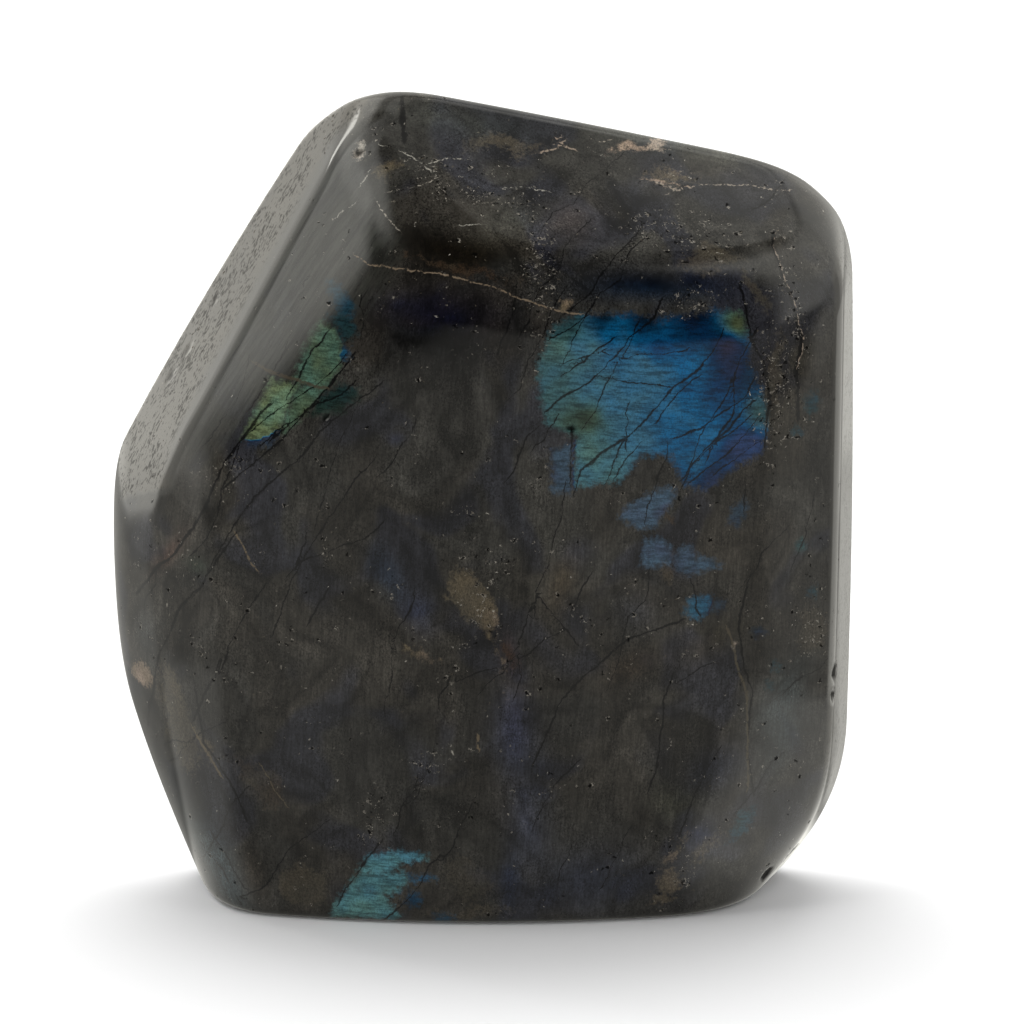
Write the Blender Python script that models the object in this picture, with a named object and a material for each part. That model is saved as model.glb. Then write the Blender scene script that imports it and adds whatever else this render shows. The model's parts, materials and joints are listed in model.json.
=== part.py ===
"""A polished labradorite freeform: one standing stone, ground on all sides and sawn flat underneath.

The stone is described the way a lapidary grinds it. Each facet is a flat or gently crowned surface
that faces one way from the stone's heart, and a facet melts into the ones before it over a rounded
edge. A fine ball, flattened to about the stone's proportions, is drawn in or out from the heart until
it lies on these facets.

Frame: metres, +Z up. The broad face with the colour flashes looks along -Y, the observer's left is -X,
and the origin lies in the sawn base, under the middle of the stone.
"""
import math
from collections import namedtuple

import bmesh
import bpy
import numpy as np

# driving dimensions, in metres and degrees
HEART_HEIGHT = 0.070
NEARLY_FLAT = 3.0

# A facet faces the way given by its turn from the front towards the observer's right and its tilt
# above the horizontal. Its reach is its distance from the heart. The two crowns are the radii of its
# surface across and up, and the blend is the width over which it melts into the facets before it.
Facet = namedtuple("Facet", "turn tilt reach crown_across crown_up blend")

FACETS = {
    "front_face": Facet(0.0, 3.0, 0.0250, 0.140, 0.350, 0.008),
    "back_face": Facet(180.0, 2.0, 0.0280, 0.160, 0.400, 0.008),
    "left_bevel": Facet(-33.0, 25.0, 0.0400, NEARLY_FLAT, NEARLY_FLAT, 0.008),
    "left_side": Facet(-68.0, 30.0, 0.0518, NEARLY_FLAT, NEARLY_FLAT, 0.0015),
    "left_lower_bevel": Facet(-57.5, -3.0, 0.0533, NEARLY_FLAT, NEARLY_FLAT, 0.0075),
    "left_lower_side": Facet(-82.0, -22.5, 0.0723, NEARLY_FLAT, NEARLY_FLAT, 0.008),
    "left_knee": Facet(-86.0, 0.0, 0.0650, NEARLY_FLAT, NEARLY_FLAT, 0.003),
    "right_bevel": Facet(45.0, 3.0, 0.0525, NEARLY_FLAT, NEARLY_FLAT, 0.008),
    "right_side": Facet(80.0, 0.0, 0.0627, NEARLY_FLAT, NEARLY_FLAT, 0.0015),
    "right_shoulder": Facet(78.0, 38.0, 0.0789, NEARLY_FLAT, NEARLY_FLAT, 0.006),
    "right_foot": Facet(71.0, -37.0, 0.0797, NEARLY_FLAT, NEARLY_FLAT, 0.008),
    "right_lower_bevel": Facet(52.0, -5.0, 0.0635, NEARLY_FLAT, NEARLY_FLAT, 0.0095),
    "top_bevel": Facet(12.5, 45.0, 0.0450, NEARLY_FLAT, NEARLY_FLAT, 0.006),
    "top_back": Facet(171.5, 40.0, 0.0524, NEARLY_FLAT, NEARLY_FLAT, 0.003),
    "top_corner": Facet(-45.0, 60.0, 0.0696, NEARLY_FLAT, NEARLY_FLAT, 0.008),
    "sawn_base": Facet(0.0, -90.0, HEART_HEIGHT, math.inf, math.inf, 0.0025),
}

# The ball has about the stone's own proportions, so that its corners spread evenly over the stone.
BALL_RADIUS = 0.070
BALL_FLATNESS = 0.42
BALL_SUBDIVISIONS = 7

# how many triangles stay once the flat areas are thinned
KEPT_TRIANGLES = 7600

# the search for the surface starts well outside the stone
SEARCH_REACH = 0.120
SEARCH_STEPS = 44

STONE_COLOUR = (0.045, 0.045, 0.048, 1.0)
STONE_ROUGHNESS = 0.10


def clear_scene():
    for item in list(bpy.data.objects):
        bpy.data.objects.remove(item, do_unlink=True)


def facet_axes(facet):
    """The way a facet faces, and its own directions across and up."""
    turn = math.radians(facet.turn)
    tilt = math.radians(facet.tilt)
    outward = np.array([math.sin(turn) * math.cos(tilt), -math.cos(turn) * math.cos(tilt), math.sin(tilt)])
    across = np.array([math.cos(turn), math.sin(turn), 0.0])
    return outward, across, np.cross(across, outward)


def height_over_facet(points, facet):
    """How far points stand outside a crowned facet; the height is below zero inside the stone."""
    outward, across, up = facet_axes(facet)
    fall_across = (points @ across) ** 2 / (2.0 * facet.crown_across)
    fall_up = (points @ up) ** 2 / (2.0 * facet.crown_up)
    return points @ outward - facet.reach + fall_across + fall_up


def blended(first, second, width):
    """The larger of two heights, rounded over the given width where they are nearly equal."""
    overlap = np.maximum(width - np.abs(first - second), 0.0)
    return np.maximum(first, second) + overlap ** 2 / (4.0 * width)


def height_over_stone(points):
    """How far points, measured from the heart, stand outside all the facets together."""
    facets = list(FACETS.values())
    height = height_over_facet(points, facets[0])
    for facet in facets[1:]:
        height = blended(height, height_over_facet(points, facet), facet.blend)
    return height


def distances_to_surface(directions):
    """The distances from the heart to the surface, found by halving the search range."""
    inside = np.zeros(len(directions))
    outside = np.full(len(directions), SEARCH_REACH)
    for _ in range(SEARCH_STEPS):
        middle = (inside + outside) / 2.0
        beyond = height_over_stone(directions * middle[:, None]) > 0.0
        outside = np.where(beyond, middle, outside)
        inside = np.where(beyond, inside, middle)
    return inside


def draw_onto_facets(form):
    """Moves each vertex of a ball round the heart towards or away from it, onto the facets."""
    directions = np.array([vertex.co.normalized() for vertex in form.verts])
    for vertex, distance in zip(form.verts, distances_to_surface(directions)):
        vertex.co = vertex.co.normalized() * distance


def centre_over_base(form):
    """Lifts the heart to its height and brings the middle of the stone's box over the origin."""
    places = np.array([vertex.co for vertex in form.verts])
    middle = (places.min(axis=0) + places.max(axis=0)) / 2.0
    bmesh.ops.translate(form, verts=form.verts, vec=(-middle[0], -middle[1], HEART_HEIGHT))


def stone_material():
    material = bpy.data.materials.new("labradorite_polished")
    material.use_nodes = True
    shader = material.node_tree.nodes["Principled BSDF"]
    shader.inputs["Base Color"].default_value = STONE_COLOUR
    shader.inputs["Roughness"].default_value = STONE_ROUGHNESS
    shader.inputs["Metallic"].default_value = 0.0
    return material


def build_stone():
    """The whole stone as one closed body, with its triangles kept where the surface turns."""
    form = bmesh.new()
    bmesh.ops.create_icosphere(form, subdivisions=BALL_SUBDIVISIONS, radius=BALL_RADIUS)
    bmesh.ops.scale(form, verts=form.verts, vec=(1.0, BALL_FLATNESS, 1.0))
    draw_onto_facets(form)
    centre_over_base(form)
    drawn_triangles = len(form.faces)
    mesh = bpy.data.meshes.new("labradorite_freeform")
    form.to_mesh(mesh)
    form.free()
    mesh.materials.append(stone_material())
    mesh.shade_smooth()

    stone = bpy.data.objects.new("labradorite_freeform", mesh)
    bpy.context.scene.collection.objects.link(stone)
    thinning = stone.modifiers.new("fewer_triangles_on_flats", "DECIMATE")
    thinning.decimate_type = "COLLAPSE"
    thinning.ratio = KEPT_TRIANGLES / drawn_triangles


def main():
    clear_scene()
    build_stone()


if __name__ == "__main__":
    main()
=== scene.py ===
"""The looks of a polished labradorite freeform: dark feldspar with blue and teal flashes under a gloss.

The stone is ground onto the same facets as the solid, much finer. What lies in it, such as a colour
flash, a crack or a patch of another mineral, is a mark placed in millimetres on the broad face, x to
the right and z up from the sawn base. Each mark is kept on the mesh as a smooth distance to its edge,
and the material turns these distances into ragged edges and fine lines.
"""
import json
import math
import random
from collections import namedtuple

import bpy
import numpy as np
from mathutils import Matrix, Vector, noise

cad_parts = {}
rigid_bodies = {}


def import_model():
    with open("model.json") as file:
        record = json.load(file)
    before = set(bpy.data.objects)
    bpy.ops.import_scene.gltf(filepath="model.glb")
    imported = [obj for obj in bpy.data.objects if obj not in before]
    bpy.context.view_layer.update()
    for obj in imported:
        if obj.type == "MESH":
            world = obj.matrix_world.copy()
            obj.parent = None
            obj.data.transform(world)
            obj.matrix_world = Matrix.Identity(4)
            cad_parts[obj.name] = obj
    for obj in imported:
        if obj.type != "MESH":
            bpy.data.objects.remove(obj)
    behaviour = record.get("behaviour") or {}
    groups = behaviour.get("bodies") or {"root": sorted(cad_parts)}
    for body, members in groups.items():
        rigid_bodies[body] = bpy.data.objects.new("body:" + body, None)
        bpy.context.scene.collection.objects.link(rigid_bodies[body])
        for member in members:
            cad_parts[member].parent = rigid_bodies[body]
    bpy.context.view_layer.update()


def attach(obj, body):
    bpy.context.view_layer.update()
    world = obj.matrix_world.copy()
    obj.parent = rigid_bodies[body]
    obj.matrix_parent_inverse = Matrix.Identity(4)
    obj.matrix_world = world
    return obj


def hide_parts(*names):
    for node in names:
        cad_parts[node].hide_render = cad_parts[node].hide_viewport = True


bl_info = {
    "name": "Labradorite Freeform",
    "version": (1, 0, 0),
    "blender": (4, 5, 0),
    "location": "3D View > Sidebar > Stone",
    "description": "Builds a polished labradorite freeform and a plain stage round its solid",
    "category": "Object",
}

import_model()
NODE = "labradorite_freeform"

MM = 0.001
HEART_HEIGHT = 0.070
HEART_ACROSS = -0.00012
HEART_DEPTH = -0.00139
NEARLY_FLAT = 3.0

# A facet faces the way given by its turn from the front towards the observer's right and its tilt
# above the horizontal. Its reach is its distance from the heart. The two crowns are the radii of its
# surface across and up, and the blend is the width over which it melts into the facets before it.
Facet = namedtuple("Facet", "turn tilt reach crown_across crown_up blend")
FACETS = {
    "front_face": Facet(0.0, 3.0, 0.0250, 0.140, 0.350, 0.008),
    "back_face": Facet(180.0, 2.0, 0.0280, 0.160, 0.400, 0.008),
    "left_bevel": Facet(-33.0, 25.0, 0.0400, NEARLY_FLAT, NEARLY_FLAT, 0.008),
    "left_side": Facet(-68.0, 30.0, 0.0518, NEARLY_FLAT, NEARLY_FLAT, 0.0015),
    "left_lower_bevel": Facet(-57.5, -3.0, 0.0533, NEARLY_FLAT, NEARLY_FLAT, 0.0075),
    "left_lower_side": Facet(-82.0, -22.5, 0.0723, NEARLY_FLAT, NEARLY_FLAT, 0.008),
    "left_knee": Facet(-86.0, 0.0, 0.0650, NEARLY_FLAT, NEARLY_FLAT, 0.003),
    "right_bevel": Facet(45.0, 3.0, 0.0525, NEARLY_FLAT, NEARLY_FLAT, 0.008),
    "right_side": Facet(80.0, 0.0, 0.0627, NEARLY_FLAT, NEARLY_FLAT, 0.0015),
    "right_shoulder": Facet(78.0, 38.0, 0.0789, NEARLY_FLAT, NEARLY_FLAT, 0.006),
    "right_foot": Facet(71.0, -37.0, 0.0797, NEARLY_FLAT, NEARLY_FLAT, 0.008),
    "right_lower_bevel": Facet(52.0, -5.0, 0.0635, NEARLY_FLAT, NEARLY_FLAT, 0.0095),
    "top_bevel": Facet(12.5, 45.0, 0.0450, NEARLY_FLAT, NEARLY_FLAT, 0.006),
    "top_back": Facet(171.5, 40.0, 0.0524, NEARLY_FLAT, NEARLY_FLAT, 0.003),
    "top_corner": Facet(-45.0, 60.0, 0.0696, NEARLY_FLAT, NEARLY_FLAT, 0.008),
    "sawn_base": Facet(0.0, -90.0, HEART_HEIGHT, math.inf, math.inf, 0.0025),
}
BALL_RADIUS = 0.070
BALL_FLATNESS = 0.42
BALL_SUBDIVISIONS = 7
SEARCH_REACH = 0.120
SEARCH_STEPS = 40

# the narrow satin side faces, each with the bevel inside it and how strongly it is scored
SATIN_FACETS = {"left_side": ("left_bevel", 1.0), "right_side": ("right_bevel", 0.35)}

# the finer mesh covers what a person in front of the stone sees
FINE_FACES_MOST = 35500

# what lies this far behind the heart still belongs to the front
FRONT_REACH = 0.012

# A mark's hue runs along the stone's play of colour, and its glow says how strongly it lights up.
Flash = namedtuple("Flash", "outline hue glow")
HUES = {
    0.00: (0.120, 0.155, 0.075),
    0.13: (0.130, 0.260, 0.190),
    0.27: (0.085, 0.240, 0.270),
    0.41: (0.060, 0.245, 0.400),
    0.54: (0.004, 0.190, 0.440),
    0.68: (0.002, 0.080, 0.240),
    0.80: (0.040, 0.085, 0.240),
    0.90: (0.090, 0.085, 0.190),
    1.00: (0.125, 0.230, 0.345),
}
FLASHES = {
    "broad_flash": Flash(
        ((12.5, 106), (17, 107.5), (25, 107), (29.5, 106), (38.5, 107.5), (44, 107), (46, 102.5),
         (46, 98.5), (47.5, 95), (49, 90.5), (49, 86.5), (48, 82.5), (43.5, 80.5), (38, 77), (34, 78.5),
         (32, 83), (27.5, 83.5), (23.5, 79.5), (16, 78), (16, 86.5), (11, 89), (10, 93), (9.5, 100)),
        None, None),
    "flash_heel": Flash(((11.5, 85), (15.5, 85.5), (15.5, 77), (12, 77.5)), 0.98, 0.52),
    "green_flash": Flash(
        ((-27.6, 105.4), (-25.0, 104), (-23.8, 101.5), (-24.0, 98.5), (-25.4, 96), (-27.2, 94.3),
         (-32.6, 94.9), (-31.2, 98.2), (-29.2, 102.6)), 0.08, 0.88),
    "green_flash_low": Flash(
        ((-36.2, 95.2), (-31.2, 94.4), (-32.6, 91.5), (-34.4, 87.8), (-38.2, 84.6), (-40.8, 85.4),
         (-39.2, 89.2), (-37.4, 92.2)), 0.03, 1.62),
    "green_flash_side": Flash(
        ((-31.4, 95.0), (-27.0, 94.5), (-28.2, 92.2), (-31.0, 89.0), (-34.2, 86.6), (-34.0, 88.6),
         (-32.4, 92.0)), 0.07, 0.90),
    "green_dusk": Flash(((-26.4, 106.8), (-22.6, 106.6), (-21.4, 104), (-24, 102.4)), 0.30, 0.20),
    "green_tip": Flash(
        ((-26.8, 112.2), (-25.2, 112), (-23.4, 110.2), (-21.6, 108), (-22.4, 106.2), (-24.6, 106.4),
         (-25.9, 109)), 0.36, 0.26),
    "green_toe": Flash(((-40.4, 85.2), (-36.4, 86.2), (-35.0, 87.2), (-36.6, 84.6), (-40, 83.9)), 0.98, 0.36),
    "green_lobe": Flash(
        ((-28, 92.8), (-24, 95.8), (-21.2, 94.8), (-20.8, 93), (-23.4, 90.8), (-27.6, 89.5), (-29.4, 90)),
        0.18, 0.17),
    "slip_under": Flash(
        ((32.2, 77.9), (33.4, 76.2), (31.2, 73.6), (29.6, 71.0), (26.8, 70.6), (23.4, 72.6), (25.2, 74.8),
         (28.4, 76.6)), 1.00, 0.70),
    "slip_middle": Flash(
        ((28.2, 68.8), (30.4, 69.2), (32.2, 67.4), (33.0, 65.8), (32.6, 64.1), (29.6, 63.9), (27.5, 64.6),
         (27.3, 66.8)), 1.00, 0.70),
    "slip_right": Flash(
        ((33.2, 63.4), (33.4, 66.0), (34.4, 67.6), (35.8, 67.4), (36.8, 65.8), (38.8, 65.2), (41.2, 63.8),
         (38.2, 63.0), (35.6, 62.8)), 1.00, 0.60),
    "azure_slip": Flash(
        ((34.6, 56.4), (35.6, 58.4), (37.4, 58.7), (39.0, 58.5), (40.0, 57.2), (38.6, 55.4), (36.9, 54.9),
         (35.5, 55.4)), 0.42, 0.66),
    "azure_slip_side": Flash(((40.0, 57.6), (41.8, 57.2), (41.4, 55.6), (39.4, 55.6)), 0.98, 0.28),
    "faint_slip": Flash(((44.7, 75.0), (45.5, 73.2), (43.8, 70.4), (42.0, 70.9), (42.6, 73.4)), 1.00, 0.36),
    "teal_foot_up": Flash(
        ((-21.8, 9.6), (-19.5, 12.6), (-15.0, 13.6), (-9.4, 13.2), (-10.2, 11.9), (-14, 11.2), (-17, 9.2)),
        0.29, 1.55),
    "teal_foot_middle": Flash(
        ((-23.8, 6.6), (-21.6, 9.8), (-17, 9.6), (-13.5, 9.9), (-12.8, 8.0), (-14.5, 7.2), (-16, 5.4)), 0.27, 1.30),
    "teal_foot_sliver": Flash(((-13.6, 9.0), (-9.2, 9.1), (-8.4, 8.4), (-12.2, 7.9)), 0.45, 0.70),
    "teal_foot_low": Flash(
        ((-26.6, 0.6), (-25.6, 3.8), (-23.2, 6.8), (-17.5, 6.0), (-16.2, 3.6), (-14.6, 1.6), (-15.4, 0.6)),
        0.24, 1.50),
    "right_streak": Flash(((43, 14), (45, 19.5), (47.5, 20), (46, 15.5)), 0.32, 0.40),
}

# small glints of their own: the middle, how far they reach, the hue and the glow
Glint = namedtuple("Glint", "x z reach hue glow")
GLINTS = (
    Glint(-23.6, 100.5, 1.0, 0.50, 0.42), Glint(54.4, 85.8, 0.9, 0.30, 0.34), Glint(56.8, 90.5, 1.6, 0.27, 0.26),
    Glint(55.0, 65.8, 1.3, 0.20, 0.42), Glint(50.5, 45.0, 0.8, 0.29, 0.30), Glint(49.5, 42.0, 0.7, 0.29, 0.30),
    Glint(57.5, 57.5, 0.7, 0.32, 0.28), Glint(-6.6, 1.0, 1.7, 0.45, 0.42),
    Glint(-12.6, 4.6, 1.5, 0.50, 0.34), Glint(47.5, 51.5, 1.2, 0.98, 0.20),
)

# places within the broad flash, each with its own hue and glow
FlashSpot = namedtuple("FlashSpot", "x z hue glow")
FLASH_SPOTS = (
    FlashSpot(13, 102, 0.22, 0.95), FlashSpot(18, 102.5, 0.32, 0.95), FlashSpot(11.5, 97.5, 0.29, 0.70),
    FlashSpot(22, 104, 0.52, 0.80), FlashSpot(29.5, 102, 0.65, 0.78), FlashSpot(36, 104, 0.68, 0.38),
    FlashSpot(18.5, 94.5, 0.32, 0.95), FlashSpot(27, 98.5, 0.43, 0.95), FlashSpot(34, 98.5, 0.54, 1.00),
    FlashSpot(25, 90.5, 0.41, 0.90), FlashSpot(17.4, 89.7, 0.12, 0.36), FlashSpot(22, 93.0, 0.37, 0.95),
    FlashSpot(18, 84.5, 0.25, 1.05), FlashSpot(22.5, 82, 0.32, 1.00), FlashSpot(34, 90.5, 0.50, 0.92),
    FlashSpot(41, 93, 0.65, 0.75), FlashSpot(43.5, 97.5, 0.77, 0.40), FlashSpot(42.5, 101.5, 0.86, 0.38),
    FlashSpot(46, 95.5, 0.60, 0.24), FlashSpot(44, 105, 0.02, 0.75), FlashSpot(48, 90, 0.27, 0.50),
    FlashSpot(38.5, 87.5, 0.52, 0.95), FlashSpot(36.5, 81.5, 0.56, 0.70), FlashSpot(45, 84.5, 0.82, 0.92),
    FlashSpot(39, 79, 0.77, 0.55), FlashSpot(15, 106, 0.31, 0.36), FlashSpot(20.5, 106.5, 0.50, 0.14),
    FlashSpot(28, 106.0, 0.59, 0.12), FlashSpot(36, 106.5, 0.68, 0.10),
)


# A crack runs through its points. Its width is in millimetres, and its strand says which of two sets
# it is kept with, because cracks side by side in one set would disturb each other.
Crack = namedtuple("Crack", "points width strand")
CRACKS = {
    "flash_a": Crack(((30.5, 109), (29.5, 106.5), (25, 103), (22, 100), (18.5, 96), (16.5, 95),
                      (13.5, 93.5), (11, 91.5)), 0.30, 0),
    "flash_wave_right": Crack(((35, 101), (32, 100.5), (26.5, 100.5), (22.5, 99.5)), 0.20, 1),
    "flash_wave_left": Crack(((21.5, 101), (20.5, 101.5), (18.5, 101), (13.5, 99.5)), 0.18, 1),
    "flash_level": Crack(((20, 97), (22.5, 96.5), (28, 95.5), (32, 94.5)), 0.15, 1),
    "flash_b": Crack(((41, 104), (39.5, 100.5), (37, 97.5), (32.5, 94.5), (27, 88.5), (24.5, 86.5),
                      (20.5, 84), (17, 81), (16, 77)), 0.32, 0),
    "flash_b_beside": Crack(((37, 96.5), (35, 95), (31.5, 91.5), (29.5, 89)), 0.22, 1),
    "flash_b_fork": Crack(((24.5, 86.5), (23, 84), (21, 79)), 0.20, 1),
    "flash_b_fork_right": Crack(((27, 85.5), (24.5, 83), (22.5, 80)), 0.16, 0),
    "flash_c": Crack(((46.5, 95), (45, 92.5), (41, 90.5), (39.5, 89), (37.5, 87.5), (32.5, 86)), 0.28, 0),
    "flash_d": Crack(((46.5, 91.5), (44.5, 90.5), (41, 86.5), (37, 82.5), (34, 79)), 0.28, 0),
    "flash_d_beside": Crack(((46, 89.5), (40.5, 85.5), (37, 82)), 0.20, 1),
    "flash_e": Crack(((47.5, 89), (44, 85.5), (41.5, 82.5), (35.5, 78.5)), 0.24, 0),
    "flash_e_beside": Crack(((47, 84.5), (43.5, 82), (39.5, 79.5)), 0.18, 1),
    "flash_f": Crack(((18, 107), (15.5, 105.5), (11.5, 103.5)), 0.24, 0),
    "flash_g": Crack(((22.5, 103.5), (19, 101.5), (14, 97.5)), 0.22, 1),
    "flash_h": Crack(((15.5, 103.5), (14, 99.5)), 0.18, 0),
    "flash_heel_side": Crack(((15.2, 88), (15.3, 79)), 0.22, 1),
    "left_long": Crack(((-36, 91), (-38, 89.4), (-40, 86.2), (-41.6, 84.5), (-44.4, 80.5), (-47.6, 73.6),
                        (-50.1, 69.4), (-53.1, 64.9), (-57.1, 60.7), (-60.8, 54.8)), 0.36, 0),
    "left_second": Crack(((-42.5, 69), (-46, 63.5), (-53, 53.5), (-57, 43.5), (-59.5, 30)), 0.34, 1),
    "green_border": Crack(((-21.7, 100.7), (-24.4, 97.2), (-27.6, 93.2), (-30.7, 89.6), (-34.7, 85.5),
                           (-37.9, 82.2), (-41.1, 79.6), (-44.4, 76.3)), 0.26, 1),
    "left_fourth": Crack(((-16.9, 96), (-22, 92), (-28, 86.7), (-31.9, 82.2), (-37.9, 76.8), (-42, 71.8),
                          (-50, 57)), 0.22, 0),
    "left_fifth": Crack(((-18, 84), (-26, 73), (-33, 61), (-36, 52)), 0.18, 0),
    "green_length": Crack(((-26, 104.1), (-27.2, 102.6), (-29.2, 100.2), (-30.8, 97.4), (-31.6, 95.5),
                           (-33.2, 92.4)), 0.24, 0),
    "green_left": Crack(((-33.4, 101.1), (-35.2, 97.8), (-36.4, 95.1), (-38.4, 92), (-40, 89.9)), 0.16, 0),
    "green_short": Crack(((-33.1, 88.6), (-35.5, 86.9), (-37.9, 84.1)), 0.16, 1),
    "lens_rim": Crack(((-50, 42.5), (-48.5, 31), (-44, 25), (-41, 18)), 0.30, 0),
    "foot_fan_a": Crack(((-50, 12), (-46, 8), (-42.5, 2)), 0.20, 1),
    "foot_fan_b": Crack(((-47.5, 15), (-44.5, 10), (-41.5, 5)), 0.20, 0),
    "middle_diagonal": Crack(((34, 55), (25, 51.5), (18, 46), (13, 40.5), (9, 30)), 0.26, 0),
    "middle_small": Crack(((9.5, 60), (13, 55), (16.5, 51)), 0.20, 1),
    "heel_line": Crack(((17, 30.5), (12.5, 26), (9, 18)), 0.18, 1),
    "right_of_flash": Crack(((44, 110.5), (46.5, 102), (48.5, 98), (49.5, 92), (48.5, 84)), 0.40, 1),
    "low_right": Crack(((46, 62), (44, 52), (46.5, 41), (46, 30), (47, 22)), 0.26, 0),
    "right_fracture": Crack(((50.8, 119), (50.3, 117), (51.7, 112.5), (53.6, 107), (54.6, 102), (53.6, 96),
                             (54.5, 88)), 0.50, 0),
    "top_dark_vein": Crack(((-14, 141), (-13.5, 134.5)), 0.8, 0),
}

# a vein is a crack filled with pale or golden mineral, its hue running along the minerals
Vein = namedtuple("Vein", "points width hue")
VEINS = {
    "gold_crack": Vein(((-21.5, 116.5), (-19.5, 115), (-10.5, 114.5), (-6, 114), (2, 112), (9.5, 109),
                        (17, 107.5)), 0.19, 0.68),
    "right_fracture": Vein(((51, 119), (50.5, 117), (52, 112.5), (54, 107), (55, 102), (54, 97)), 0.13, 0.85),
    "left_yellow": Vein(((-42.5, 69), (-39.5, 64), (-38.5, 63)), 0.24, 0.62),
    "gold_ridge": Vein(((-50.5, 33.5), (-47.5, 28.5), (-45.5, 25.5)), 0.30, 0.55),
    "brown_lens_rim": Vein(((-38.5, 28.5), (-36.5, 24.5), (-34, 21)), 0.14, 0.50),
    "green_crossing": Vein(((-38.9, 97.8), (-36.4, 96.6), (-32.4, 95.5), (-30, 95.1), (-26.6, 94.8)), 0.42, 0.34),
    "right_brown_vein": Vein(((42, 52.5), (43.5, 48.5), (45.5, 41.5), (46, 33), (46, 23)), 0.30, 0.45),
    "top_net_left": Vein(((-17.5, 134), (-12, 132), (-8, 129.5)), 0.10, 1.0),
    "top_net_right": Vein(((-10, 131), (-5, 131.8), (-2.5, 131.5)), 0.10, 1.0),
    "top_net_low": Vein(((-16, 127), (-11.5, 127.8), (-8, 128.8)), 0.10, 0.95),
    "zigzag_up": Vein(((10.1, 132.4), (13.2, 132.9), (13.6, 134.4)), 0.22, 0.84),
    "zigzag_down": Vein(((12.9, 134.2), (14, 133.2), (15.6, 132.5)), 0.20, 0.84),
    "pale_line": Vein(((32, 125.5), (38, 126.6), (46, 126.2), (53.5, 125)), 0.15, 0.90),
    "gold_streak": Vein(((28, 128), (32.5, 127), (37, 126)), 0.20, 0.80),
    "chips_left": Vein(((18.8, 134.2), (20.4, 133.6), (22, 133.8)), 0.16, 0.92),
    "corner_scratch": Vein(((-25, 122), (-22, 124.5)), 0.13, 1.0),
    "corner_scratch_up": Vein(((-21, 127.5), (-19.5, 130)), 0.15, 1.0),
    "corner_dots": Vein(((-18, 125.5), (-16.5, 123), (-14.5, 121)), 0.15, 0.95),
    "short_line": Vein(((4, 127), (11.5, 126.5)), 0.10, 1.0),
    "white_sliver": Vein(((-5.5, 33.2), (-4.8, 31.8)), 0.26, 1.0),
    "gold_sliver": Vein(((-0.8, 35.2), (-0.6, 33.0)), 0.30, 0.62),
    "small_pale_line": Vein(((-4, 121.5), (-0.5, 121.6)), 0.10, 1.0),
}

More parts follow.
